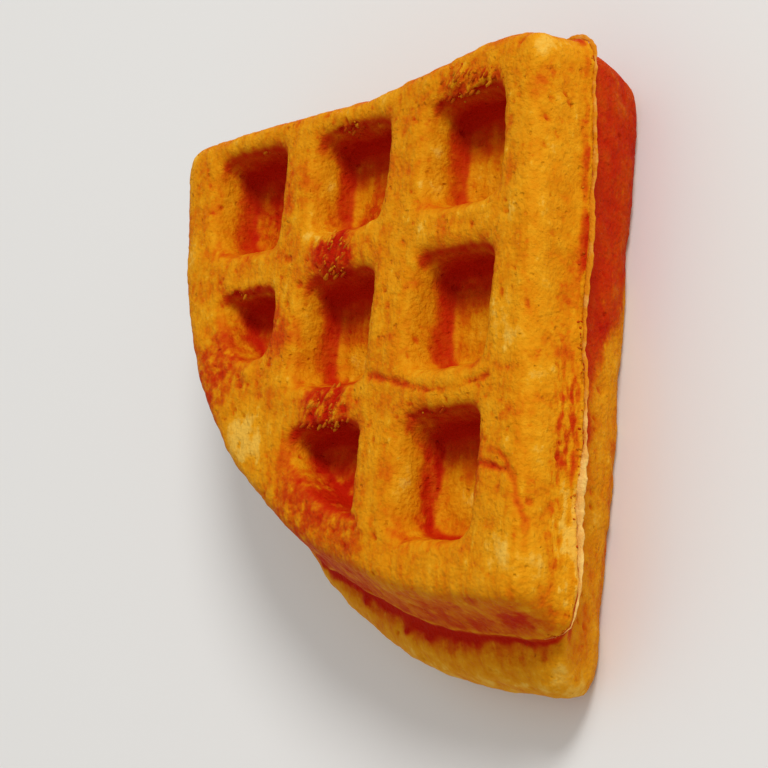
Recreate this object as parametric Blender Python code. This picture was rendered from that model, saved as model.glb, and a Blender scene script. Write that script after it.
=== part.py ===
"""One quarter of a thick round waffle, lying on its back face. Metres, +Z up.

X and Y run along the two straight sides. The tip, which was the middle of the round waffle, points
to +X and -Y. Both faces carry the same pockets, and the rim shows the two halves of the iron.
"""

import math
from collections import namedtuple

import bmesh
import bpy
from mathutils import Vector, noise

THICKNESS = 0.025

# Outline at the front lip. Places are counted from the corner of the pocket nearest the tip.
SIDE_X = 0.0042
SIDE_Y = -0.0066
SIDE_Y_LEAN = 0.050
ARC_CENTRE = (0.0061, -0.0092)
ARC_RADIUS = 0.0847
TIP_CUT = 0.0070
CORNER_SHARPNESS = 34.0

# The outline is walked round from its middle, with its points closer together at the corners. The
# torn seam's raggedness has one grain for every so much of a turn.
OUTLINE_MIDDLE = (-0.034, 0.029)
OUTLINE_POINTS = 116
CORNER_CROWDING = 1.6
CORNER_REACH = 0.16
ANGLE_STEPS = 1440
TORN_GRAIN = 0.10

# Batter that swelled out along the X side close to the tip, and in the first part of the arc.
TIP_SWELL = 0.0036
TIP_SWELL_PLACE = 0.0040
TIP_SWELL_WIDTH = 0.0160
ARC_SWELL = 0.0030
ARC_SWELL_PLACE = math.radians(35)
ARC_SWELL_WIDTH = math.radians(26)

# The back half's lip spreads past the front one, most of all towards the end of the arc.
BACK_SPREAD = 0.0054
BACK_SPREAD_STARTS = math.radians(42)
BACK_SPREAD_FULL = math.radians(68)

# The rim from the face down to the back. Each level has its depth below the face, how far it stands
# out on the straight sides and on the arc, its shares of the Y side's lean and of the back's
# spread, how far the tip is filled out again past the cut, and how ragged the seam is torn.
Level = namedtuple("Level", "depth side arc lean spread tip torn", defaults=(0.0,))
RIM_PROFILE = (
    Level(0.0000, -0.0022, -0.0024, 1.0, 0.00, 0.0000),
    Level(0.0006, -0.0008, -0.0008, 1.0, 0.00, 0.0000),
    Level(0.0022, 0.0000, 0.0000, 1.0, 0.00, 0.0000),
    Level(0.0062, 0.0005, 0.0012, 1.0, 0.00, 0.0000),
    Level(0.0092, 0.0009, 0.0024, 1.0, 0.00, 0.0000),
    Level(0.0103, 0.0018, 0.0030, 1.0, 0.00, 0.0000, 0.0009),
    Level(0.0118, 0.0001, 0.0020, 0.7, 0.08, 0.0008),
    Level(0.0126, 0.0003, 0.0034, 0.4, 0.62, 0.0020),
    Level(0.0146, 0.0005, 0.0042, 0.1, 0.92, 0.0036),
    Level(0.0180, 0.0002, 0.0046, 0.0, 1.00, 0.0054),
    Level(0.0222, -0.0008, 0.0042, 0.0, 1.00, 0.0070),
    Level(0.0244, -0.0022, 0.0028, 0.0, 1.00, 0.0080),
    Level(0.0250, -0.0038, 0.0010, 0.0, 1.00, 0.0088),
)

# Pockets: middle and width of each column along Y, middle and height of each row along X, both
# counted from the tip. The arc cuts two pockets short, and the batter filled part of them.
COLUMNS = ((0.0084, 0.0166), (0.0339, 0.0172), (0.0582, 0.0178))
ROWS = ((-0.0087, 0.0178), (-0.0333, 0.0186), (-0.0588, 0.0206))
POCKETS = ((0, 0), (0, 1), (0, 2), (1, 0), (1, 1), (1, 2), (2, 0), (2, 1))
SHORT_POCKETS = {(1, 2): 0.0172, (2, 1): 0.0118}
POCKET_BORDER = 0.0060
POCKET_DEPTH = 0.0084
SHORT_POCKET_DEPTH = 0.0068
SHORT_POCKET_LEAN = 0.70
SHORT_POCKET_MIDDLE = (0.36, 0.32)
POCKET_SHARPNESS = 7.5
POCKET_POINTS = 28

# A pocket's wall: share of the depth, and how far the wall stands back from the opening.
POCKET_PROFILE = (
    (0.00, 0.0013),
    (0.04, 0.0005),
    (0.14, -0.0002),
    (0.34, -0.0008),
    (0.80, -0.0016),
    (0.95, -0.0024),
    (1.00, -0.0038),
)
CUTTER_OVERSHOOT = 0.0040

# Unevenness of the baked batter, read for each axis from its own place in the noise. It fades
# towards the back face, which stays flat.
UNEVEN_SIZE = 0.0170
UNEVEN_SIDEWAYS = 0.0007
UNEVEN_UP = 0.0005
UNEVEN_FADE = 0.0060
UNEVEN_PLACES = ((7.3, 2.9, 4.1), (31.7, 18.4, 25.6), (52.2, 46.5, 60.8))
FACE_GRID = 0.0062
FLAT_ENOUGH = 0.999
SAME_POINT = 0.00002
SMALLEST_CLOSING = 1e-6

CRUST_COLOUR = (0.672, 0.242, 0.004, 1.0)
CRUST_ROUGHNESS = 0.55
SHARP_EDGE = math.radians(50)


def clear_scene():
    for old in list(bpy.data.objects):
        bpy.data.objects.remove(old, do_unlink=True)


def new_collection(name):
    collection = bpy.data.collections.new(name)
    bpy.context.scene.collection.children.link(collection)
    return collection


def crust_material():
    material = bpy.data.materials.new("golden_crust")
    material.use_nodes = True
    shader = material.node_tree.nodes["Principled BSDF"]
    shader.inputs["Base Color"].default_value = CRUST_COLOUR
    shader.inputs["Roughness"].default_value = CRUST_ROUGHNESS
    shader.inputs["Metallic"].default_value = 0.0
    return material


def smooth_step(low, high, value):
    t = min(max((value - low) / (high - low), 0.0), 1.0)
    return t * t * (3.0 - 2.0 * t)


def reach_wall(start, direction, normal, distance):
    """How far a ray from start goes before it meets a straight wall, or infinity."""
    closing = normal.dot(direction)
    if closing < SMALLEST_CLOSING:
        return math.inf
    return (distance - normal.dot(start)) / closing


def reach_circle(start, direction, centre, radius):
    """How far a ray from inside a circle goes before it meets the circle."""
    offset = start - centre
    along = offset.dot(direction)
    return -along + math.sqrt(along * along - offset.length_squared + radius * radius)


def round_off(reaches, sharpness):
    """The shortest of several reaches, with a rounded change from one to the next."""
    shortest = min(reaches)
    return shortest * sum((shortest / reach) ** sharpness for reach in reaches) ** (-1.0 / sharpness)


def tip_swell(y):
    """How far the X side stands out at one place along it."""
    return TIP_SWELL * math.exp(-(((y - TIP_SWELL_PLACE) / TIP_SWELL_WIDTH) ** 2))


def arc_angle(start, direction):
    """Where a ray meets the arc, as the angle from the arc's far end on the X side."""
    point = start + direction * reach_circle(start, direction, Vector(ARC_CENTRE), ARC_RADIUS)
    away = point - Vector(ARC_CENTRE)
    return math.atan2(-away.x, away.y)


def arc_swell(angle):
    return ARC_SWELL * math.exp(-(((angle - ARC_SWELL_PLACE) / ARC_SWELL_WIDTH) ** 2))


def rim_ring(level):
    """The waffle's outline at one depth below the face, as a closed ring of points."""
    middle = Vector(OUTLINE_MIDDLE)
    square = Vector((1.0, 0.0))
    leaning = Vector((SIDE_Y_LEAN * level.lean, -1.0)).normalized()
    diagonal = Vector((1.0, -1.0)).normalized()
    corner = Vector((SIDE_X, SIDE_Y))
    ring = []
    for angle in outline_angles():
        way = Vector((math.cos(angle), math.sin(angle)))
        side_y = middle.y + way.y * min(reach_wall(middle, way, square, SIDE_X), ARC_RADIUS)
        along = arc_angle(middle, way)
        spread = level.spread * smooth_step(BACK_SPREAD_STARTS, BACK_SPREAD_FULL, along)
        radius = ARC_RADIUS + level.arc + arc_swell(along) + BACK_SPREAD * spread
        side_x = SIDE_X + level.side + tip_swell(side_y)
        reach = round_off(
            (
                reach_wall(middle, way, square, side_x),
                reach_wall(middle, way, leaning, leaning.dot(corner) + level.side),
                reach_wall(middle, way, diagonal, diagonal.dot(corner) + TIP_CUT - level.tip),
                reach_circle(middle, way, Vector(ARC_CENTRE), radius),
            ),
            CORNER_SHARPNESS,
        )
        ragged = level.torn * noise.noise(Vector((way.x, way.y, 0.0)) / TORN_GRAIN)
        ring.append(Vector((*(middle + way * (reach + ragged)), THICKNESS - level.depth)))
    return ring


def outline_angles():
    """Directions from the middle of the quarter that set points evenly, and closer at the corners."""
    corners = [
        Vector((SIDE_X, SIDE_Y)),
        Vector((SIDE_X, ARC_CENTRE[1] + ARC_RADIUS)),
        Vector((ARC_CENTRE[0] - ARC_RADIUS, SIDE_Y)),
    ]
    rays = [corner - Vector(OUTLINE_MIDDLE) for corner in corners]
    corner_angles = [math.atan2(ray.y, ray.x) for ray in rays]

    def density(angle):
        gaps = [abs(math.remainder(angle - other, math.tau)) for other in corner_angles]
        return 1.0 + CORNER_CROWDING * sum(math.exp(-((gap / CORNER_REACH) ** 2)) for gap in gaps)

    grown = [0.0]
    for step in range(ANGLE_STEPS):
        grown.append(grown[-1] + density(math.tau * step / ANGLE_STEPS))
    angles = []
    step = 0
    for index in range(OUTLINE_POINTS):
        wanted = grown[-1] * index / OUTLINE_POINTS
        while grown[step + 1] < wanted:
            step += 1
        angles.append(math.tau * step / ANGLE_STEPS)
    return angles


def loft(name, rings, collection):
    """A closed body through rings of equally many points, listed from its top to its bottom."""
    body = bmesh.new()
    loops = [[body.verts.new(point) for point in ring] for ring in rings]
    count = len(rings[0])
    for upper, lower in zip(loops, loops[1:]):
        for index in range(count):
            after = (index + 1) % count
            body.faces.new((upper[index], lower[index], lower[after], upper[after]))
    body.faces.new(loops[0])
    body.faces.new(list(reversed(loops[-1])))
    bmesh.ops.recalc_face_normals(body, faces=body.faces)
    mesh = bpy.data.meshes.new(name)
    body.to_mesh(mesh)
    body.free()
    shape = bpy.data.objects.new(name, mesh)
    collection.objects.link(shape)
    return shape


def grid_faces(shape):
    """Cuts the two large faces of the blank into a grid, so that they can be uneven."""
    body = bmesh.new()
    body.from_mesh(shape.data)
    for axis in (Vector((1.0, 0.0, 0.0)), Vector((0.0, 1.0, 0.0))):
        lines = math.ceil(2.0 * ARC_RADIUS / FACE_GRID)
        for step in range(-lines, lines + 1):
            caps = [face for face in body.faces if abs(face.normal.z) > FLAT_ENOUGH]
            edges = dict.fromkeys(edge for face in caps for edge in face.edges)
            corners = dict.fromkeys(vert for face in caps for vert in face.verts)
            bmesh.ops.bisect_plane(
                body,
                geom=[*corners, *edges, *caps],
                dist=SAME_POINT,
                plane_co=axis * (FACE_GRID * step),
                plane_no=axis,
            )
    body.to_mesh(shape.data)
    body.free()


def pocket_ring(column, row, stand_back, z):
    """A pocket's outline: four walls and, near the rim, the border that follows the arc."""
    middle_y, width = COLUMNS[column]
    middle_x, height = ROWS[row]
    top = middle_x + height / 2.0
    bottom = top - SHORT_POCKETS.get((column, row), height)
    border = ARC_RADIUS - POCKET_BORDER
    start = Vector(((top + bottom) / 2.0, middle_y))
    if (column, row) in SHORT_POCKETS:
        down, across = SHORT_POCKET_MIDDLE
        start = Vector((top - down * (top - bottom), middle_y + (across - 0.5) * width))
        stand_back *= SHORT_POCKET_LEAN
    ring = []
    for index in range(POCKET_POINTS):
        angle = math.tau * (index + 0.5) / POCKET_POINTS
        way = Vector((math.cos(angle), math.sin(angle)))
        reach = round_off(
            (
                reach_wall(start, way, Vector((1.0, 0.0)), top + stand_back),
                reach_wall(start, way, Vector((-1.0, 0.0)), -bottom + stand_back),
                reach_wall(start, way, Vector((0.0, 1.0)), middle_y + width / 2.0 + stand_back),
                reach_wall(start, way, Vector((0.0, -1.0)), -middle_y + width / 2.0 + stand_back),
                reach_circle(start, way, Vector(ARC_CENTRE), border + stand_back),
            ),
            POCKET_SHARPNESS,
        )
        ring.append(Vector((*(start + way * reach), z)))
    return ring


def pocket_cutter(column, row, from_front, collection):
    """The shape that one pocket takes out of the front or the back half."""
    short = (column, row) in SHORT_POCKETS
    depth = SHORT_POCKET_DEPTH if short else POCKET_DEPTH
    face, inward = (THICKNESS, -1.0) if from_front else (0.0, 1.0)
    mouth = POCKET_PROFILE[0][1]
    rings = [pocket_ring(column, row, mouth, face - inward * CUTTER_OVERSHOOT)]
    for share, stand_back in POCKET_PROFILE:
        rings.append(pocket_ring(column, row, stand_back, face + inward * depth * share))
    side = "front" if from_front else "back"
    cutter = loft(f"cut_{side}_{column}{row}", rings, collection)
    cutter.hide_render = True
    cutter.display_type = "WIRE"
    return cutter


def unevenness(point):
    """How far the baking pushed a point of the crust out of its true place."""
    along_x, along_y, up = (
        noise.noise(point / UNEVEN_SIZE + Vector(place)) for place in UNEVEN_PLACES
    )
    fade = smooth_step(0.0, UNEVEN_FADE, point.z)
    return Vector((UNEVEN_SIDEWAYS * along_x, UNEVEN_SIDEWAYS * along_y, UNEVEN_UP * fade * up))


def finish_quarter(blank, collection, material):
    """Takes the cut blank's mesh, makes it uneven, and puts its origin under its middle."""
    graph = bpy.context.evaluated_depsgraph_get()
    mesh = bpy.data.meshes.new_from_object(blank.evaluated_get(graph))
    bpy.data.objects.remove(blank, do_unlink=True)
    body = bmesh.new()
    body.from_mesh(mesh)
    bmesh.ops.remove_doubles(body, verts=body.verts, dist=SAME_POINT)
    bmesh.ops.triangulate(body, faces=body.faces)
    for vert in body.verts:
        vert.co += unevenness(vert.co)
    xs = [vert.co.x for vert in body.verts]
    ys = [vert.co.y for vert in body.verts]
    centre = Vector(((min(xs) + max(xs)) / 2.0, (min(ys) + max(ys)) / 2.0, 0.0))
    bmesh.ops.translate(body, verts=body.verts, vec=-centre)
    body.to_mesh(mesh)
    body.free()
    mesh.name = "waffle_quarter"
    mesh.materials.clear()
    mesh.materials.append(material)
    mesh.shade_smooth()
    mesh.set_sharp_from_angle(angle=SHARP_EDGE)
    quarter = bpy.data.objects.new("waffle_quarter", mesh)
    collection.objects.link(quarter)
    return quarter


clear_scene()
waffle = new_collection("Waffle quarter")
cutters = new_collection("Pocket cutters")
blank = loft("blank", [rim_ring(level) for level in RIM_PROFILE], waffle)
grid_faces(blank)
for column, row in POCKETS:
    pocket_cutter(column, row, True, cutters)
    pocket_cutter(column, row, False, cutters)
cut = blank.modifiers.new("pockets", "BOOLEAN")
cut.operation = "DIFFERENCE"
cut.operand_type = "COLLECTION"
cut.collection = cutters
cut.solver = "EXACT"
finish_quarter(blank, waffle, crust_material())
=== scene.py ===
import math
from collections import namedtuple

import bmesh
import bpy
from mathutils import Matrix, Vector


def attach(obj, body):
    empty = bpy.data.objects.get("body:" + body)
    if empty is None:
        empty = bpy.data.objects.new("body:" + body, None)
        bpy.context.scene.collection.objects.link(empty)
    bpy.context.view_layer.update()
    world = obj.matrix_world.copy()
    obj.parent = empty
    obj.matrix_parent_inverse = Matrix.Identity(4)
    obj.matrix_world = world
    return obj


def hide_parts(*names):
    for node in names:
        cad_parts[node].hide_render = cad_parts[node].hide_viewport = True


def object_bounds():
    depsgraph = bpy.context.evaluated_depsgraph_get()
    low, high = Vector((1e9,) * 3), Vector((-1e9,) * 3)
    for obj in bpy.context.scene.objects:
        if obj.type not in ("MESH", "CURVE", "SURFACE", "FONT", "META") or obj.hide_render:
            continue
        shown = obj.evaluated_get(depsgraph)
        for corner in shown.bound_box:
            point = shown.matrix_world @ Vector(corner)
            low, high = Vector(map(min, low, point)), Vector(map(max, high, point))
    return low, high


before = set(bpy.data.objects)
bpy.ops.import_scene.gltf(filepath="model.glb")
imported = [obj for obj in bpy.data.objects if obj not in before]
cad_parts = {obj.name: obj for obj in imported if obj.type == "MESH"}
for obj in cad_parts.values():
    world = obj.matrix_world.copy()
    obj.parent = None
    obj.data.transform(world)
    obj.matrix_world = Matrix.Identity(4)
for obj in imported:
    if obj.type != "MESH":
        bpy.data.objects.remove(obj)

cad_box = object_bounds()
cad_low, cad_high = Vector(cad_box[0]), Vector(cad_box[1])


# The quarter's crust: thick batter, baked between the two halves of a deep iron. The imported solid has
# its true form, with few faces. A copy of it is merged and given small even faces for the relief.
FACE_SIZE = 0.00056
MERGE_DISTANCE = 0.00001

batter_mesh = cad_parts["waffle_quarter"].data.copy()
batter_mesh.name = "waffle_crust"
merging = bmesh.new()
merging.from_mesh(batter_mesh)
bmesh.ops.remove_doubles(merging, verts=merging.verts, dist=MERGE_DISTANCE)
merging.to_mesh(batter_mesh)
merging.free()
crust = bpy.data.objects.new("waffle_crust", batter_mesh)
bpy.context.scene.collection.objects.link(crust)

even_faces = crust.modifiers.new("even faces", "REMESH")
even_faces.mode = "VOXEL"
even_faces.voxel_size = FACE_SIZE
even_faces.use_smooth_shade = True


# The baked relief. Batter bakes with low swellings, a fine grain, burst pores and small blisters, and the
# iron's hinge side tears its edges. One node tree makes all of it on the even faces. It also leaves on them
# how open each place lies to the light all round and to the key light, which the crust's colour uses for
# painted shade and painted light.
VECTOR_TYPES = ("VECTOR", "RGBA")


class Socket:
    """A node's output that can be used in sums. Each sum adds the Math node that works it out."""

    def __init__(self, tree, output):
        self.tree = tree
        self.output = output

    def sum(self, operation, *values):
        vector = any(isinstance(value, Socket) and value.output.type in VECTOR_TYPES for value in values)
        kind = "ShaderNodeVectorMath" if vector else "ShaderNodeMath"
        return self.tree.node(kind, {"operation": operation}, *values)

    def __add__(self, other):
        return self.sum("ADD", self, other)

    def __radd__(self, other):
        return self.sum("ADD", other, self)

    def __sub__(self, other):
        return self.sum("SUBTRACT", self, other)

    def __rsub__(self, other):
        return self.sum("SUBTRACT", other, self)

    def __mul__(self, other):
        if self.output.type in VECTOR_TYPES and not isinstance(other, tuple):
            return self.tree.node("ShaderNodeVectorMath", {"operation": "SCALE"}, self, Scale=other)
        return self.sum("MULTIPLY", self, other)

    def __rmul__(self, other):
        return self * other

    def __truediv__(self, other):
        return self * (1.0 / other) if isinstance(other, float) else self.sum("DIVIDE", self, other)

    def __rtruediv__(self, other):
        return self.sum("DIVIDE", other, self)

    def dot(self, other):
        return self.tree.node("ShaderNodeVectorMath", {"operation": "DOT_PRODUCT"}, self, other, give="Value")

    def most(self, other):
        return self.sum("MAXIMUM", self, other)

    def share(self, low, high):
        """0 below low, 1 above high, and a smooth change between them. low may be the larger."""
        settings = {"interpolation_type": "SMOOTHSTEP"}
        return self.tree.node("ShaderNodeMapRange", settings, self, low, high, 0.0, 1.0)

    def band(self, low, low_full, high_full, high):
        """0 below low and above high, and 1 between the two full values."""
        return self.share(low, low_full) * self.share(high, high_full)

    def size(self):
        """The number without its sign."""
        return self.sum("ABSOLUTE", self)

    def part(self, axis):
        return self.tree.node("ShaderNodeSeparateXYZ", {}, self, give=axis)


class Tree:
    """A node tree while it is wired. node() adds any node, and gives one of its outputs."""

    def __init__(self, node_tree):
        self.node_tree = node_tree

    def node(self, kind, settings, *values, give=0, **named_values):
        made = self.node_tree.nodes.new(kind)
        for name, value in settings.items():
            if name == "stops":
                self.set_stops(made.color_ramp, value)
            else:
                setattr(made, name, value)
        inputs = [socket for socket in made.inputs if socket.enabled]
        by_name = {socket.name.replace(" ", "_"): socket for socket in reversed(inputs)}
        for socket, value in [*zip(inputs, values), *((by_name[n], v) for n, v in named_values.items())]:
            if isinstance(value, Socket):
                self.node_tree.links.new(value.output, socket)
            elif value is not None:
                socket.default_value = value
        outputs = [Socket(self, socket) for socket in made.outputs if socket.enabled]
        named_outputs = {socket.output.name: socket for socket in reversed(outputs)}
        if give is None:
            return named_outputs
        return outputs[give] if isinstance(give, int) else named_outputs[give]

    def set_stops(self, ramp, stops):
        while len(ramp.elements) < len(stops):
            ramp.elements.new(1.0)
        for element, (position, colour) in zip(ramp.elements, stops):
            element.position = position
            element.color = colour

    def noise(self, place, size, seed, detail=2.0, give="Fac"):
        """Noise of one grain size, from about -1 to 1."""
        settings = {"noise_dimensions": "4D"}
        values = {"W": seed, "Scale": 1.0 / size, "Detail": detail}
        found = self.node("ShaderNodeTexNoise", settings, place, give=give, **values)
        return found * 2.0 - (1.0 if give == "Fac" else (1.0, 1.0, 1.0))

    def wandering(self, place, reach, size, seed, detail=2.0):
        """The place moved by up to about the reach, so that what is drawn there gets crooked edges."""
        return place + self.noise(place, size, seed, detail, "Color") * reach

    def cells(self, place, size):
        """The nearest of many scattered points: how far off it is, and its own random numbers."""
        return self.node("ShaderNodeTexVoronoi", {}, place, give=None, Scale=1.0 / size)

    def painted(self, place, spots):
        """Round places, each with a middle, a radius and a strength, added up."""
        total = 0.0
        for middle, radius, strength in spots:
            away = self.node("ShaderNodeVectorMath", {"operation": "DISTANCE"}, place, middle, give="Value")
            total = total + away.share(radius, radius * 0.25) * strength
        return total


MIDDLE_HEIGHT = (cad_low.z + cad_high.z) / 2.0
# The key light's direction. The crust's colour also paints shade and light along it.
SUN_WAY = Vector((0.60, -0.50, 0.63)).normalized()
SKY_RAYS = 20
SUN_RAYS = 12
WALL_RAYS = 10
SUN_SPREAD = 0.30
WALL_RISE = 0.12
RAY_START = 0.0004
RAY_LENGTH = 0.030
GOLDEN_ANGLE = math.pi * (3.0 - math.sqrt(5.0))
EDGE_HEIGHT = 0.0004
RIM_BAND = (0.0036, 0.0026)
CREASE_WANDER = 0.0004

RELIEF_SIZES = {
    "Swelling size": 0.0070,
    "Swelling height": 0.00034,
    "Lump size": 0.0028,
    "Lump height": 0.00030,
    "Grain size": 0.0013,
    "Grain height": 0.00021,
    "Streak height": 0.00018,
    "Pore spacing": 0.0024,
    "Pore depth": 0.00034,
    "Blister spacing": 0.0052,
    "Blister height": 0.00030,
    "Torn length": 0.0038,
    "Torn width": 0.0011,
    "Torn height": 0.00130,
    "Crease width": 0.00080,
    "Crease depth": 0.00050,
}
STREAK_SIZE = (0.0050, 0.0011, 0.0020)
TORN_WAY = Vector((0.80, -0.60, 0.0))
TORN_ACROSS = Vector((0.60, 0.80, 0.0))
TORN_SEED = 7.0

# Places that baked redder, that stayed pale, and where the crust stuck to the iron and tore. Each has its
# middle, its radius and its strength. The red places down at the pockets' floors are painted shade in pockets
# that lie deeper in shadow, and the pale places there are painted light on the lit parts of the floors.
RED_PLACES = (
    ((-0.0065, -0.0005, 0.025), 0.0085, 0.75),
    ((0.0185, 0.0000, 0.025), 0.0065, 0.85),
    ((0.0200, 0.0030, 0.025), 0.0110, 0.25),
    ((-0.0200, 0.0010, 0.024), 0.0130, 0.50),
    ((-0.0280, -0.0090, 0.022), 0.0070, 0.36),
    ((0.0020, 0.0290, 0.024), 0.0110, 0.55),
    ((0.0080, 0.0140, 0.024), 0.0070, 0.35),
    ((0.0305, 0.0130, 0.024), 0.0060, 0.25),
    # The next four lie at the pockets' floors: painted shade.
    ((0.0300, 0.0240, 0.0175), 0.0110, 0.50),
    ((0.0250, 0.0000, 0.0170), 0.0085, 0.45),
    ((0.0108, 0.0209, 0.0180), 0.0090, 0.35),
    ((-0.0190, -0.0034, 0.0180), 0.0095, 0.45),
    ((-0.0180, -0.0350, 0.025), 0.0060, 0.25),
    ((-0.0400, -0.0400, 0.0200), 0.0045, 0.55),
)
PALE_PLACES = (
    ((0.0457, -0.0414, 0.0240), 0.0046, 0.17),
    ((0.0362, -0.0421, 0.0250), 0.0022, 0.35),
    ((0.0241, 0.0061, 0.0250), 0.0058, 0.32),
    ((0.0022, -0.0374, 0.0250), 0.0070, 0.15),
    ((-0.0281, -0.0442, 0.0150), 0.0060, 0.30),
    ((-0.0100, 0.0170, 0.0250), 0.0080, 0.24),
    # The next four lie at the pockets' floors: painted light.
    ((0.0290, -0.0240, 0.0172), 0.0042, 0.12),
    ((0.0050, -0.0245, 0.0172), 0.0042, 0.12),
    ((-0.0215, -0.0255, 0.0172), 0.0048, 0.18),
    ((0.0028, 0.0015, 0.0172), 0.0036, 0.18),
    ((-0.0310, -0.0400, 0.0245), 0.0045, 0.18),
)
TORN_PLACES = (
    ((0.0405, -0.0240, 0.0250), 0.0070, 0.9),
    ((0.0400, -0.0310, 0.0250), 0.0050, 0.7),
    ((0.0185, 0.0010, 0.0250), 0.0070, 0.9),
    ((-0.0065, -0.0005, 0.0250), 0.0075, 0.9),
    ((0.0400, 0.0020, 0.0250), 0.0060, 0.5),
)
# Thin cracks and folds of the top crust, each a line of places along it.
CREASES = (
    ((-0.0169, -0.0391), (-0.0199, -0.0411), (-0.0220, -0.0422), (-0.0273, -0.0441)),
    ((-0.0191, -0.0317), (-0.0182, -0.0354), (-0.0193, -0.0394), (-0.0199, -0.0411)),
    ((-0.0024, -0.0100), (-0.0043, -0.0161), (-0.0060, -0.0220), (-0.0068, -0.0285), (-0.0053, -0.0350)),
    ((-0.0209, -0.0052), (-0.0232, -0.0070), (-0.0242, -0.0094)),
    ((0.0189, -0.0436), (0.0100, -0.0441), (0.0021, -0.0447), (-0.0060, -0.0450), (-0.0142, -0.0452)),
)


def sky_ways(count):
    """Directions spread evenly over the sky above a face, more of them near the top."""
    ways = []
    for index in range(count):
        out = math.sqrt((index + 0.5) / count)
        turn = index * GOLDEN_ANGLE
        ways.append(Vector((out * math.cos(turn), out * math.sin(turn), math.sqrt(1.0 - out * out))))
    return ways


def ways_around(middle, spread, count):
    """Directions within a narrow cone."""
    across = middle.orthogonal().normalized()
    ways = []
    for index in range(count):
        out = spread * math.sqrt((index + 0.5) / count)
        turned = Matrix.Rotation(index * GOLDEN_ANGLE, 3, middle) @ across
        ways.append((middle + turned * out).normalized())
    return ways


def level_ways(count):
    """Directions all round that rise a little, which meet a wall only from inside a pocket."""
    turns = [math.tau * index / count for index in range(count)]
    return [Vector((math.cos(turn), math.sin(turn), WALL_RISE)).normalized() for turn in turns]


def line_object(name, lines, height):
    """An object of bare edges that follow the lines at one height."""
    points, edges = [], []
    for line in lines:
        edges += [(len(points) + step, len(points) + step + 1) for step in range(len(line) - 1)]
        points += [(x, y, height) for x, y in line]
    mesh = bpy.data.meshes.new(name)
    mesh.from_pydata(points, edges, [])
    made = bpy.data.objects.new(name, mesh)
    bpy.context.scene.collection.objects.link(made)
    return made


def new_tree(name, sizes, objects=()):
    """A Geometry Nodes tree with one named input for each size and each object."""
    group = bpy.data.node_groups.new(name, "GeometryNodeTree")
    group.interface.new_socket("Geometry", in_out="OUTPUT", socket_type="NodeSocketGeometry")
    group.interface.new_socket("Geometry", in_out="INPUT", socket_type="NodeSocketGeometry")
    for size in sizes:
        group.interface.new_socket(size, in_out="INPUT", socket_type="NodeSocketFloat")
    for other in objects:
        group.interface.new_socket(other, in_out="INPUT", socket_type="NodeSocketObject")
    tree = Tree(group)
    start = group.nodes.new("NodeGroupInput")
    return tree, {socket.name: Socket(tree, socket) for socket in start.outputs if socket.name}


def end_tree(tree, geometry, material):
    """Every tree ends with real faces of one material."""
    geometry = tree.node("GeometryNodeRealizeInstances", {}, geometry)
    geometry = tree.node("GeometryNodeSetMaterial", {}, geometry, None, material)
    end = tree.node_tree.nodes.new("NodeGroupOutput")
    tree.node_tree.links.new(geometry.output, end.inputs[0])
    return tree.node_tree


def made_plain(piece, group, values, material):
    """The piece's mesh as the tree makes it with these values, with no modifier left on it."""
    modifier = piece.modifiers.new(group.name, "NODES")
    modifier.node_group = group
    for entry in group.interface.items_tree:
        if entry.in_out == "INPUT" and entry.name in values:
            modifier[entry.identifier] = values[entry.name]
    graph = bpy.context.evaluated_depsgraph_get()
    mesh = bpy.data.meshes.new_from_object(piece.evaluated_get(graph))
    piece.modifiers.clear()
    piece.data = mesh
    mesh.name = piece.name
    mesh.materials.clear()
    mesh.materials.append(material)
    mesh.polygons.foreach_set("material_index", [0] * len(mesh.polygons))
    return mesh


def torn_grain_place(tree, place, length, width):
    """The place measured in fibre lengths and widths, for noise that runs along the torn fibres."""
    along = place.dot(tuple(TORN_WAY)) / length
    across = place.dot(tuple(TORN_ACROSS)) / width
    return tree.node("ShaderNodeCombineXYZ", {}, along, across, place.part("Z") / width)


def which_half(height):
    """1 in the front half of the thickness, -1 in the back half, with a quick change between."""
    return height.share(MIDDLE_HEIGHT - 0.001, MIDDLE_HEIGHT + 0.001) * 2.0 - 1.0


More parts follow.
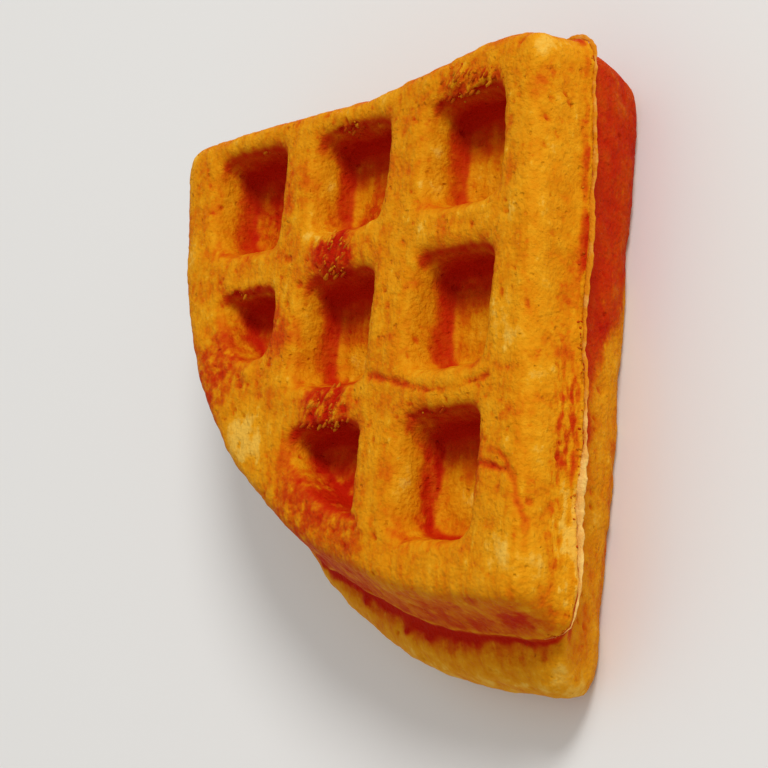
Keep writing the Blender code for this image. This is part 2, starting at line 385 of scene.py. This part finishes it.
def relief_tree(material):
    tree, given = new_tree("baked relief", RELIEF_SIZES, ["Creases"])

    def keep(mesh, name, value, kind="FLOAT"):
        settings = {"data_type": kind, "domain": "POINT"}
        return tree.node("GeometryNodeStoreNamedAttribute", settings, mesh, None, name, value)

    def kept(name, kind="FLOAT"):
        return tree.node("GeometryNodeInputNamedAttribute", {"data_type": kind}, name)

    def blur(value, times, kind="FLOAT"):
        return tree.node("GeometryNodeBlurAttribute", {"data_type": kind}, value, times)

    place = tree.node("GeometryNodeInputPosition", {})
    normal = tree.node("GeometryNodeInputNormal", {})
    mesh = tree.node("GeometryNodeSetPosition", {}, given["Geometry"], None, blur(place, 5, "FLOAT_VECTOR"))
    mesh = keep(mesh, "outward", normal, "FLOAT_VECTOR")
    swell = blur((place - blur(place, 14, "FLOAT_VECTOR")).dot(normal), 2)
    mesh = keep(mesh, "edge", swell / EDGE_HEIGHT)

    half = which_half(place.part("Z"))
    to_face = tree.node("ShaderNodeCombineXYZ", {}, 1.0, 1.0, half)
    views = {
        "sky": sky_ways(SKY_RAYS),
        "sun": ways_around(SUN_WAY, SUN_SPREAD, SUN_RAYS),
        "level": level_ways(WALL_RAYS),
    }
    for name, ways in views.items():
        blocked = 0.0
        for way in ways:
            origin = place + normal * RAY_START
            along = to_face * tuple(way)
            blocked = blocked + tree.node(
                "GeometryNodeRaycast", {}, mesh, None, origin, along, RAY_LENGTH, give="Is Hit"
            )
        mesh = keep(mesh, name, 1.0 - blocked / float(len(ways)))
    mesh = keep(mesh, "sky", blur(kept("sky"), 3))
    mesh = keep(mesh, "sun", blur(kept("sun"), 2))
    off_middle = (place.part("Z") - MIDDLE_HEIGHT).size()
    on_the_rim = off_middle.share(*RIM_BAND)
    mesh = keep(mesh, "pocket", blur(kept("level"), 2).share(0.35, 0.08) * (1.0 - on_the_rim))
    mesh = keep(mesh, "by_pocket", blur(kept("pocket"), 16))

    outward = kept("outward", "FLOAT_VECTOR")
    up = outward.part("Z") * half
    swelling = tree.noise(place, given["Swelling size"], 1.0) * given["Swelling height"]
    lumps = tree.noise(place, given["Lump size"], 2.0) * given["Lump height"]
    grain = tree.noise(place, given["Grain size"], 3.0, 3.0) * given["Grain height"]
    along = place * tuple(1.0 / size for size in STREAK_SIZE)
    streaks = tree.noise(along, 1.0, 4.0) * given["Streak height"] * up.share(0.5, 0.9)

    crooked = tree.wandering(place, 0.0007, 0.0016, 9.0)
    pore = tree.cells(crooked, given["Pore spacing"])
    pore_size = pore["Color"].part("X") * 0.22 + 0.10
    chosen = (pore["Color"].part("Y") + tree.noise(place, 0.011, 5.0) * 0.35).share(0.55, 0.60)
    pores = (pore["Distance"] / pore_size).share(1.0, 0.45) * chosen * given["Pore depth"]

    blister = tree.cells(place, given["Blister spacing"])
    rise = (blister["Distance"] / 0.30).share(1.0, 0.0) * blister["Color"].part("Y").share(0.60, 0.62)
    blisters = rise * given["Blister height"]

    lip = kept("edge").share(0.02, 0.40) * (outward.part("X") * -1.0).share(0.0, 0.35)
    torn_places = tree.painted(place, TORN_PLACES)
    torn_zone = lip * (tree.noise(place, 0.009, 6.0) + torn_places).share(0.0, 0.35)
    torn_zone = torn_zone * kept("by_pocket").share(0.0, 0.15)
    torn_zone = torn_zone.most(torn_places.share(0.25, 0.90) * outward.part("Z").share(0.3, 0.7) * 0.5)
    fibre_place = torn_grain_place(tree, place, given["Torn length"], given["Torn width"])
    torn = tree.noise(fibre_place, 1.0, TORN_SEED, 1.0) * torn_zone

    lines = tree.node("GeometryNodeObjectInfo", {}, given["Creases"], give="Geometry")
    level_place = tree.node("ShaderNodeCombineXYZ", {}, place.part("X"), place.part("Y"), cad_high.z)
    level_place = level_place + tree.noise(place, 0.0022, 10.0, 2.0, "Color") * CREASE_WANDER
    nearest = {"target_element": "EDGES"}
    away = tree.node(
        "GeometryNodeProximity", nearest, lines, Sample_Position=level_place, give="Distance"
    )
    crease = away.share(given["Crease width"], 0.0) * outward.part("Z").share(0.1, 0.6)
    crease = crease * (tree.noise(place, 0.0045, 28.0).share(-0.40, 0.25) * 0.65 + 0.35)

    relief = swelling + lumps + grain + streaks + blisters + torn * given["Torn height"]
    relief = relief - pores - crease * given["Crease depth"]
    mesh = keep(mesh, "relief", relief)
    mesh = keep(mesh, "pores", pores / given["Pore depth"])
    mesh = keep(mesh, "torn", torn_zone)
    mesh = keep(mesh, "crease", crease)
    mesh = keep(mesh, "near", blur(kept("sky"), 22))
    wandering = tree.wandering(place, 0.0040, 0.0060, 8.0, 4.0)
    mesh = keep(mesh, "red", tree.painted(wandering, RED_PLACES))
    mesh = keep(mesh, "pale", tree.painted(wandering, PALE_PLACES))
    moved = place + outward * kept("relief")
    floor_height = moved.part("Z").most(0.0)
    flat = tree.node("ShaderNodeCombineXYZ", {}, moved.part("X"), moved.part("Y"), floor_height)
    return end_tree(tree, tree.node("GeometryNodeSetPosition", {}, mesh, None, flat), material)


golden_crust = bpy.data.materials.new("golden_crust")
creases = line_object("creases", CREASES, cad_high.z)
relief_inputs = {**RELIEF_SIZES, "Creases": creases}
baked_mesh = made_plain(crust, relief_tree(golden_crust), relief_inputs, golden_crust)
bpy.data.objects.remove(creases)
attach(crust, "root")
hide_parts("waffle_quarter")


# The crust's colour. Batter browns from pale through gold to dark red as it bakes, most where fat gathers.
# One tone, from 0 to 1, is added up from what made each place browner or paler, and the scale of tones turns
# it into a colour. Part of the tone is painted shade and painted light: darker where little light reaches,
# paler where the key light falls.
CRUST_TONES = (
    (0.00, (0.80, 0.43, 0.050, 1.0)),
    (0.14, (0.74, 0.300, 0.006, 1.0)),
    (0.30, (0.68, 0.225, 0.002, 1.0)),
    (0.45, (0.62, 0.125, 0.001, 1.0)),
    (0.60, (0.54, 0.056, 0.001, 1.0)),
    (0.78, (0.51, 0.024, 0.0008, 1.0)),
    (1.00, (0.46, 0.010, 0.0005, 1.0)),
)
GOLDEN = 0.29

# How much browner each cause makes the crust. What is below zero makes it paler. Some causes are painted
# shade and painted light rather than baking: shade, lit floor, and those whose names say painted.
BROWNING = {
    "hidden from the light, painted shade": 0.24,
    "beside a pocket": 2.2,
    "pocket's lip, painted shade": 0.32,
    "shade": 0.33,
    "foot of a wall, browner and painted shade": 0.36,
    "lit floor": -0.12,
    "sharp edge, painted highlight": -0.06,
    "raised": -0.19,
    "pit": 0.08,
    "fleck": -0.13,
    "freckle": 0.15,
    "pale freckle": -0.12,
    "pore": 0.12,
    "crease": 0.20,
    "torn": 0.22,
    "fibre": -0.75,
    "long side": -0.09,
    "above the seam": 0.46,
    "under the seam, painted shade": 0.46,
    "pale batter": -0.46,
    "rim's crease, painted shade": 0.42,
    "back lip": -0.05,
    "back lip, ragged": -0.10,
    "back lip, arc, painted light": -0.14,
}
RELIEF_SCALE = 0.0005

# Each grain of the crust's colour: its size, its own seed, its detail, how it is stretched, its strength.
Grain = namedtuple("Grain", "size seed detail stretch strength", defaults=((1.0, 1.0, 1.0), 1.0))
GRAINS = {
    "patches": Grain(0.011, 11.0, 3.0, strength=0.10),
    "mottling": Grain(0.0036, 12.0, 4.0, strength=0.26),
    "speckle": Grain(0.0011, 13.0, 3.0, strength=0.15),
    "streaks": Grain(0.0070, 14.0, 3.0, (1.0, 4.5, 2.0), 0.22),
    "red": Grain(0.0017, 15.0, 4.0),
    "gloss": Grain(0.0016, 16.0, 2.0, strength=0.10),
    "fine": Grain(0.00065, 17.0, 5.0),
    "ragged": Grain(0.0045, 18.0, 5.0),
    "smears": Grain(0.0011, 19.0, 3.0, (0.45, 1.0, 1.2)),
    "freckles": Grain(0.0013, 20.0, 4.0),
    "pit clusters": Grain(0.0080, 26.0, 2.0, strength=0.4),
}
PIT_SPACING = 0.0015
FLECK_SPACING = 0.0013
FLECK_STRETCH = (0.55, 1.0, 1.0)

# The rim's bands, each as the height where it starts, is full, is still full and ends. The first one
# is along X, and is the part of the long side where batter welled out of the seam. The pale reach is
# where along X the pale band starts and is full.
WELLED_OUT = (-0.038, -0.030, -0.010, 0.004)
RED_BAND = (0.0150, 0.0162, 0.0180, 0.0212)
PALE_BAND = (0.0128, 0.0142, 0.0164, 0.0196)
PALE_REACH = (-0.012, -0.022)
CREASE_BAND = (0.0124, 0.0133, 0.0140, 0.0150)
SEAM_TOP = cad_high.z - 0.0115

ROUGHNESS = 0.62
SPECULAR_LEVEL = 0.03
BUMP_STRENGTH = 0.85
BUMP_HEIGHT = 0.00026


def grain(tree, place, name):
    kind = GRAINS[name]
    return tree.noise(place * kind.stretch, kind.size, kind.seed, kind.detail) * kind.strength


def specks(tree, place, pocket, freckles):
    """The tone of dark pits, pale flecks and freckles, and the pits themselves for the bump."""
    crooked = tree.wandering(place, 0.0005, 0.0009, 25.0)
    pit = tree.cells(crooked, PIT_SPACING)
    pit_size = pit["Color"].part("Z") * 0.30 + 0.14
    clusters = pit["Color"].part("X") + grain(tree, place, "pit clusters")
    pits = (pit["Distance"] / pit_size).share(1.0, 0.1) * clusters.share(0.72, 0.82)
    fleck = tree.cells(crooked * FLECK_STRETCH, FLECK_SPACING)
    flecks = (fleck["Distance"] / 0.36).share(1.0, 0.2) * fleck["Color"].part("Y").share(0.68, 0.74)
    tone = pits * BROWNING["pit"] + flecks * (1.0 - pocket * 0.6) * BROWNING["fleck"]
    tone = tone + freckles.share(0.12, 0.50) * BROWNING["freckle"]
    return tone + freckles.share(-0.15, -0.55) * BROWNING["pale freckle"], pits


def rim_tone(tree, place, outward, pocket, ragged):
    """The tone of the sides: red under the seam as painted shade, golden on the back lip as painted light,
    dark in the rim's crease as painted shade, and pale where batter welled out.
    """
    along, height = place.part("X"), place.part("Z")
    long_side = (outward.part("Y") * -1.0).share(0.35, 0.75)
    long_side = long_side * (along + ragged * 0.004).share(-0.040, -0.030)
    smears = grain(tree, place, "smears").share(-0.25, 0.35)
    above_seam = height.band(*RED_BAND) * along.band(*WELLED_OUT) * long_side * smears
    tone = above_seam * BROWNING["above the seam"] + long_side * BROWNING["long side"]

    # Painted shade: red on the back half below the seam, along the long side and round the tip, with the
    # outer band left golden.
    by_tip = outward.part("X").share(0.35, 0.75) * (place.part("Y") + ragged * 0.012).share(0.004, -0.022)
    shade_under_seam = long_side.most(by_tip) * height.share(SEAM_TOP + 0.0006, SEAM_TOP - 0.0008)
    band_top = 0.0100 - (along + 0.004).most(0.0) * 0.50
    outer_band = (height + ragged * 0.0020 - band_top).share(0.0026, -0.0010)
    tone = tone + shade_under_seam * (1.0 - outer_band) * BROWNING["under the seam, painted shade"]

    # Painted light: the back lip is paler, most on the arc side, where it lies in the front half's shadow.
    back_lip = (height + ragged * 0.0012).share(0.0139, 0.0124) * (1.0 - long_side) * (1.0 - pocket)
    back_lip_painted_light = ragged * BROWNING["back lip, ragged"] + BROWNING["back lip"]
    back_lip_painted_light = back_lip_painted_light + outward.part("X").share(0.0, -0.6) * BROWNING["back lip, arc, painted light"]
    tone = tone + back_lip * back_lip_painted_light

    welled_out = height.band(*PALE_BAND) * along.share(*PALE_REACH) * long_side
    tone = tone + welled_out * (smears * 0.5 + 0.5) * BROWNING["pale batter"]
    # Painted shade: dark in the crease of the rim beside the arc.
    return tone + height.band(*CREASE_BAND) * (1.0 - long_side) * BROWNING["rim's crease, painted shade"]


def paint_crust(material):
    material.use_nodes = True
    tree = Tree(material.node_tree)
    shader = material.node_tree.nodes["Principled BSDF"]

    def kept(name, give="Fac"):
        return tree.node("ShaderNodeAttribute", {"attribute_name": name}, give=give)

    place = tree.node("ShaderNodeTexCoord", {}, give="Object")
    outward = kept("outward", "Vector")
    pocket = kept("pocket")
    ragged = grain(tree, place, "ragged").share(-0.5, 0.5)
    height = place.part("Z")
    facing = outward.part("Z") * which_half(height)
    depth = cad_high.z - MIDDLE_HEIGHT - (height - MIDDLE_HEIGHT).size()

    tone = GOLDEN
    for name in ("patches", "mottling", "speckle", "streaks"):
        tone = tone + grain(tree, place, name)
    # Painted shade: darker where little of the light all round reaches.
    tone = tone + (1.0 - kept("sky")) * BROWNING["hidden from the light, painted shade"]
    beside = (1.0 - kept("near")) * (1.0 - pocket) * facing.share(0.2, 0.7)
    tone = tone + beside * (ragged * 0.7 + 0.3) * BROWNING["beside a pocket"]
    # Painted shade: the pockets' lips that face away from the key light are darker.
    lips = kept("by_pocket").share(0.0, 0.22) * (1.0 - pocket * 0.8)
    tone = tone + (outward.part("X") * -1.0).share(0.0, 0.60) * lips * BROWNING["pocket's lip, painted shade"]
    # Painted shadow of the key light inside the pockets.
    tone = tone + (1.0 - kept("sun")) * pocket * BROWNING["shade"]
    pocket_floor = pocket * facing.share(0.60, 0.92)
    # The foot of each pocket wall is darker: partly deeper browning, partly painted shade in the corner.
    foot = (1.0 - pocket_floor) * pocket * (depth + ragged * 0.0020).share(0.0048, 0.0078)
    tone = tone + foot * BROWNING["foot of a wall, browner and painted shade"]
    # Painted light: the pockets' floors paler where the key light reaches them.
    tone = tone + pocket_floor * kept("sun").share(0.3, 0.9) * BROWNING["lit floor"]
    # Painted highlight: sharp convex edges a little paler.
    tone = tone + kept("edge").most(0.0) * BROWNING["sharp edge, painted highlight"]
    tone = tone + kept("relief") / RELIEF_SCALE * BROWNING["raised"]

    freckles = grain(tree, place, "freckles")
    speck_tone, pits = specks(tree, place, pocket, freckles)
    tone = tone + speck_tone + kept("pores") * BROWNING["pore"] + kept("crease") * BROWNING["crease"]
    fibre_place = torn_grain_place(tree, place, RELIEF_SIZES["Torn length"], RELIEF_SIZES["Torn width"])
    fibres = tree.noise(fibre_place, 1.0, TORN_SEED, 1.0) + tree.noise(fibre_place, 0.45, 27.0, 3.0) * 0.7
    fibres = fibres * kept("torn")
    tone = tone + kept("torn") * BROWNING["torn"] + fibres * BROWNING["fibre"]
    tone = tone + kept("red") * grain(tree, place, "red").share(-0.6, 0.5) - kept("pale")
    tone = tone + rim_tone(tree, place, outward, pocket, ragged)

    colour = tree.node("ShaderNodeValToRGB", {"stops": CRUST_TONES}, tone)
    material.node_tree.links.new(colour.output, shader.inputs["Base Color"])
    gloss = grain(tree, place, "gloss") + ROUGHNESS
    material.node_tree.links.new(gloss.output, shader.inputs["Roughness"])
    fine = grain(tree, place, "fine") - freckles * 0.5 - pits * 0.9 + fibres * 2.5
    bump = tree.node("ShaderNodeBump", {}, BUMP_STRENGTH, BUMP_HEIGHT, None, fine)
    material.node_tree.links.new(bump.output, shader.inputs["Normal"])
    shader.inputs["Specular IOR Level"].default_value = SPECULAR_LEVEL


paint_crust(golden_crust)


# The flash: a thin ragged fin of batter that was squeezed out where the two halves of the iron met,
# and that broke off unevenly when the quarter was torn off. It runs along the seam and shows on the
# two straight sides, where it stayed pale.
FLASH_HEIGHT = cad_high.z - 0.0106
FLASH_SIZES = {
    "Step": 0.0003,
    "Reach": 0.00052,
    "Thickness": 0.00024,
    "Ragged size": 0.0034,
    "Ragged reach": 1.20,
    "Crumple": 0.00026,
}
# How far out from the middle each straight side starts, first for no fin and then for a full one.
LONG_SIDE_STARTS = (0.039, 0.042)
SHORT_SIDE_STARTS = (0.040, 0.043)
FLASH_SIDES = 10
THINNEST = 0.15
END_SHARE = 0.12
SQUEEZED_OUT = 0.9
FLASH_PALE = (0.84, 0.54, 0.15, 1.0)
FLASH_GOLDEN = (0.65, 0.22, 0.007, 1.0)
TORN_ROUGHNESS = 0.7
TORN_BUMP_STRENGTH = 0.6
TORN_BUMP_HEIGHT = 0.0002


def seam_path():
    """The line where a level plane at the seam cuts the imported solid."""
    cut = bmesh.new()
    cut.from_mesh(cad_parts["waffle_quarter"].data)
    bmesh.ops.remove_doubles(cut, verts=cut.verts, dist=MERGE_DISTANCE)
    bmesh.ops.bisect_plane(
        cut,
        geom=[*cut.verts, *cut.edges, *cut.faces],
        plane_co=(0.0, 0.0, FLASH_HEIGHT),
        plane_no=(0.0, 0.0, 1.0),
        clear_inner=True,
        clear_outer=True,
    )
    mesh = bpy.data.meshes.new("seam_flash")
    cut.to_mesh(mesh)
    cut.free()
    return mesh


def flash_tree(material):
    tree, given = new_tree("seam flash", FLASH_SIZES)
    place = tree.node("GeometryNodeInputPosition", {})
    long_side = (place.part("Y") * -1.0).share(*LONG_SIDE_STARTS)
    straight = place.part("X").share(*SHORT_SIDE_STARTS).most(long_side)
    rim = tree.node("GeometryNodeDeleteGeometry", {"domain": "EDGE"}, given["Geometry"], 0.5 - straight)
    path = tree.node("GeometryNodeMeshToCurve", {}, rim)
    path = tree.node("GeometryNodeResampleCurve", {"mode": "LENGTH"}, path, Length=given["Step"])
    path = tree.node("GeometryNodeSetCurveNormal", {"mode": "Z_UP"}, path)
    ragged = tree.noise(place, given["Ragged size"], 21.0, 4.0) * given["Ragged reach"] + 0.75
    ragged = ragged + tree.noise(place, 0.0010, 29.0, 3.0) * 0.45
    ends = tree.node("GeometryNodeSplineParameter", {}).band(0.0, END_SHARE, 1.0 - END_SHARE, 1.0)
    squeezed = place.part("X").share(-0.006, -0.020) * long_side * SQUEEZED_OUT + 1.0
    reach = given["Reach"] * ragged.most(THINNEST) * (ends * 0.95 + 0.05) * squeezed
    path = tree.node("GeometryNodeSetCurveRadius", {}, path, None, reach)
    round_profile = tree.node("GeometryNodeCurvePrimitiveCircle", {}, FLASH_SIDES, Radius=1.0)
    thin = tree.node("ShaderNodeCombineXYZ", {}, 1.0, given["Thickness"] / given["Reach"], 1.0)
    profile = tree.node("GeometryNodeTransform", {}, round_profile, Scale=thin)
    radius = tree.node("GeometryNodeInputRadius", {})
    fin = tree.node("GeometryNodeCurveToMesh", {}, path, profile, radius, Fill_Caps=True)
    crumple = tree.noise(place, 0.0012, 22.0, 3.0, "Color") * given["Crumple"]
    fin = tree.node("GeometryNodeSetPosition", {}, fin, None, None, crumple)
    fin = tree.node("GeometryNodeSetShadeSmooth", {}, fin)
    return end_tree(tree, fin, material)


def browner_to_the_tip(tree, place):
    """The fin baked golden, and stayed pale where batter welled out past the middle."""
    return tree.noise(place, 0.0022, 23.0, 5.0) + 1.0 - place.part("X").share(-0.002, -0.020) * 0.75


def torn_batter(name, pale, golden, baking):
    """Batter that the iron never pressed: dull, with a fine torn grain, and golden where it baked."""
    material = bpy.data.materials.new(name)
    material.use_nodes = True
    tree = Tree(material.node_tree)
    shader = material.node_tree.nodes["Principled BSDF"]
    place = tree.node("ShaderNodeTexCoord", {}, give="Object")
    colour = tree.node("ShaderNodeMix", {"data_type": "RGBA"}, baking(tree, place), pale, golden)
    material.node_tree.links.new(colour.output, shader.inputs["Base Color"])
    torn_grain = tree.noise(place, 0.0004, 24.0, 3.0)
    bump = tree.node("ShaderNodeBump", {}, TORN_BUMP_STRENGTH, TORN_BUMP_HEIGHT, None, torn_grain)
    material.node_tree.links.new(bump.output, shader.inputs["Normal"])
    shader.inputs["Roughness"].default_value = TORN_ROUGHNESS
    shader.inputs["Specular IOR Level"].default_value = SPECULAR_LEVEL
    return material


flash = bpy.data.objects.new("seam_flash", seam_path())
bpy.context.scene.collection.objects.link(flash)
flash_batter = torn_batter("flash_batter", FLASH_PALE, FLASH_GOLDEN, browner_to_the_tip)
made_plain(flash, flash_tree(flash_batter), FLASH_SIZES, flash_batter)
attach(flash, "root")


# Crumbs and fibres: bits of crust that broke off along the torn seam and stuck there, and the ragged
# fibres that stand in the pockets' lips where the crust clung to the iron as it was opened.
CRUMB_SIZES = {
    "Crumbs each square metre": 2200000.0,
    "Fibres each square metre": 420000.0,
    "Smallest": 0.00010,
    "Largest": 0.00028,
    "Fibre length": 0.00125,
    "Fibre thickness": 0.00032,
    "Fibre sinking": 0.00016,
}
CRUMB_PALEST = (0.73, 0.28, 0.008, 1.0)
CRUMB_BROWNEST = (0.46, 0.030, 0.001, 1.0)
CRUMPLE_SIZE = 0.0004
CRUMPLE = 0.00012
BY_A_STRAIGHT_SIDE = (0.030, 0.036)
BY_THE_SEAM = (0.0014, 0.0003)


def own_shade(tree, place):
    """Each crumb has its own shade, the same all over it."""
    return tree.node("ShaderNodeAttribute", {"attribute_name": "shade"}, give="Fac")


def crumb_tree(material):
    tree, given = new_tree("crumbs", CRUMB_SIZES)
    place = tree.node("GeometryNodeInputPosition", {})
    by_short_side = place.part("X").share(*BY_A_STRAIGHT_SIDE)
    straight = by_short_side.most((place.part("Y") * -1.0).share(*BY_A_STRAIGHT_SIDE))
    near_seam = (place.part("Z") - FLASH_HEIGHT).size().share(*BY_THE_SEAM) * straight
    clumps = tree.noise(place, 0.0070, 31.0, 2.0).share(-0.2, 0.4)
    torn = tree.node("GeometryNodeInputNamedAttribute", {"data_type": "FLOAT"}, "torn")
    density = given["Crumbs each square metre"] * (near_seam * clumps + torn * 0.25)
    crust_faces = given["Geometry"]
    seats = tree.node("GeometryNodeDistributePointsOnFaces", {}, crust_faces, None, density, 3)
    bit = tree.node("GeometryNodeMeshIcoSphere", {}, 1.0, 1)
    size = tree.node("FunctionNodeRandomValue", {}, given["Smallest"], given["Largest"], None, 4)
    vectors = {"data_type": "FLOAT_VECTOR"}
    shape = tree.node("FunctionNodeRandomValue", vectors, (0.6, 0.6, 0.5), (1.4, 1.2, 1.0), None, 5)
    turn = tree.node("FunctionNodeRandomValue", vectors, (0, 0, 0), (math.tau, math.tau, math.tau), None, 6)
    turned = tree.node("FunctionNodeEulerToRotation", {}, turn)
    bits = tree.node("GeometryNodeInstanceOnPoints", {}, seats, None, bit, None, None, turned, shape * size)

    density = given["Fibres each square metre"] * torn.share(0.15, 0.6)
    found = tree.node("GeometryNodeDistributePointsOnFaces", {}, crust_faces, None, density, 7, give=None)
    sunk = found["Normal"] * (given["Fibre sinking"] * -1.0)
    roots = tree.node("GeometryNodeSetPosition", {}, found["Points"], None, None, sunk)
    bend = tree.node("FunctionNodeRandomValue", vectors, (-0.3, -0.3, -0.25), (0.3, 0.3, 0.10), None, 8)
    lying = tree.node("FunctionNodeAlignRotationToVector", {"axis": "X"}, None, 1.0, bend + tuple(TORN_WAY))
    length = given["Fibre length"] * tree.node("FunctionNodeRandomValue", {}, 0.5, 1.2, None, 9)
    thickness = given["Fibre thickness"]
    size = tree.node("ShaderNodeCombineXYZ", {}, length, thickness, thickness)
    fibres = tree.node("GeometryNodeInstanceOnPoints", {}, roots, None, bit, None, None, lying, size)

    crumbs = tree.node("GeometryNodeJoinGeometry", {}, bits)
    tree.node_tree.links.new(fibres.output, crumbs.output.node.inputs[0])
    shade = tree.node("FunctionNodeRandomValue", {}, 0.20, 1.0, None, 10)
    settings = {"data_type": "FLOAT", "domain": "INSTANCE"}
    crumbs = tree.node("GeometryNodeStoreNamedAttribute", settings, crumbs, None, "shade", shade)
    crumbs = tree.node("GeometryNodeRealizeInstances", {}, crumbs)
    crumple = tree.noise(place, CRUMPLE_SIZE, 32.0, 2.0, "Color") * CRUMPLE
    crumbs = tree.node("GeometryNodeSetPosition", {}, crumbs, None, None, crumple)
    crumbs = tree.node("GeometryNodeSetShadeSmooth", {}, crumbs)
    return end_tree(tree, crumbs, material)


crumbs = bpy.data.objects.new("crumbs", baked_mesh)
bpy.context.scene.collection.objects.link(crumbs)
crumb_batter = torn_batter("crumb_batter", CRUMB_PALEST, CRUMB_BROWNEST, own_shade)
made_plain(crumbs, crumb_tree(crumb_batter), CRUMB_SIZES, crumb_batter)
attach(crumbs, "root")


# The floor and the light: a pale floor, one soft key light from beyond the tip, and pale light from
# all round. The camera looks at the quarter as in the photograph, from closer.
FLOOR_HALF = 3.0
FLOOR_COLOUR = (0.80, 0.79, 0.77, 1.0)
FLOOR_ROUGHNESS = 0.7
CAMERA_PLACE = Vector((-0.0845, -0.2614, 0.2477))
CAMERA_UP = Vector((0.984, -0.047, 0.170))
CAMERA_LENS = 108.0
CAMERA_SENSOR = 36.0
KEY_DISTANCE = 2.5
KEY_SIZE = 0.80
KEY_POWER = 40.0
ROUND_LIGHT = 0.56
ROUND_COLOUR = (1.0, 0.99, 0.97, 1.0)

corners = [(x * FLOOR_HALF, y * FLOOR_HALF, 0.0) for x, y in ((-1, -1), (1, -1), (1, 1), (-1, 1))]
floor_mesh = bpy.data.meshes.new("floor")
floor_mesh.from_pydata(corners, [], [(0, 1, 2, 3)])
floor = bpy.data.objects.new("floor", floor_mesh)
floor_paint = bpy.data.materials.new("pale_floor")
floor_paint.use_nodes = True
floor_shader = floor_paint.node_tree.nodes["Principled BSDF"]
floor_shader.inputs["Base Color"].default_value = FLOOR_COLOUR
floor_shader.inputs["Roughness"].default_value = FLOOR_ROUGHNESS
floor_mesh.materials.append(floor_paint)
bpy.context.scene.collection.objects.link(floor)

middle = (cad_low + cad_high) / 2.0
key_data = bpy.data.lights.new("key", "AREA")
key_data.shape = "DISK"
key_data.size = KEY_SIZE
key_data.energy = KEY_POWER
key = bpy.data.objects.new("key", key_data)
key.location = middle + SUN_WAY * KEY_DISTANCE
key.rotation_euler = SUN_WAY.to_track_quat("Z", "Y").to_euler()
bpy.context.scene.collection.objects.link(key)

world = bpy.data.worlds.new("studio")
world.use_nodes = True
sky_shader = world.node_tree.nodes["Background"]
sky_shader.inputs["Color"].default_value = ROUND_COLOUR
sky_shader.inputs["Strength"].default_value = ROUND_LIGHT
bpy.context.scene.world = world

camera_data = bpy.data.cameras.new("camera")
camera_data.sensor_width = CAMERA_SENSOR
camera_data.lens = CAMERA_LENS
camera_data.clip_start = 0.01
camera = bpy.data.objects.new("camera", camera_data)
look = (middle - CAMERA_PLACE).normalized()
right = look.cross(CAMERA_UP).normalized()
up = right.cross(look)
camera.matrix_world = Matrix.Translation(CAMERA_PLACE) @ Matrix((right, up, -look)).transposed().to_4x4()
bpy.context.scene.collection.objects.link(camera)
bpy.context.scene.camera = camera
bpy.context.scene.view_settings.view_transform = "Standard"
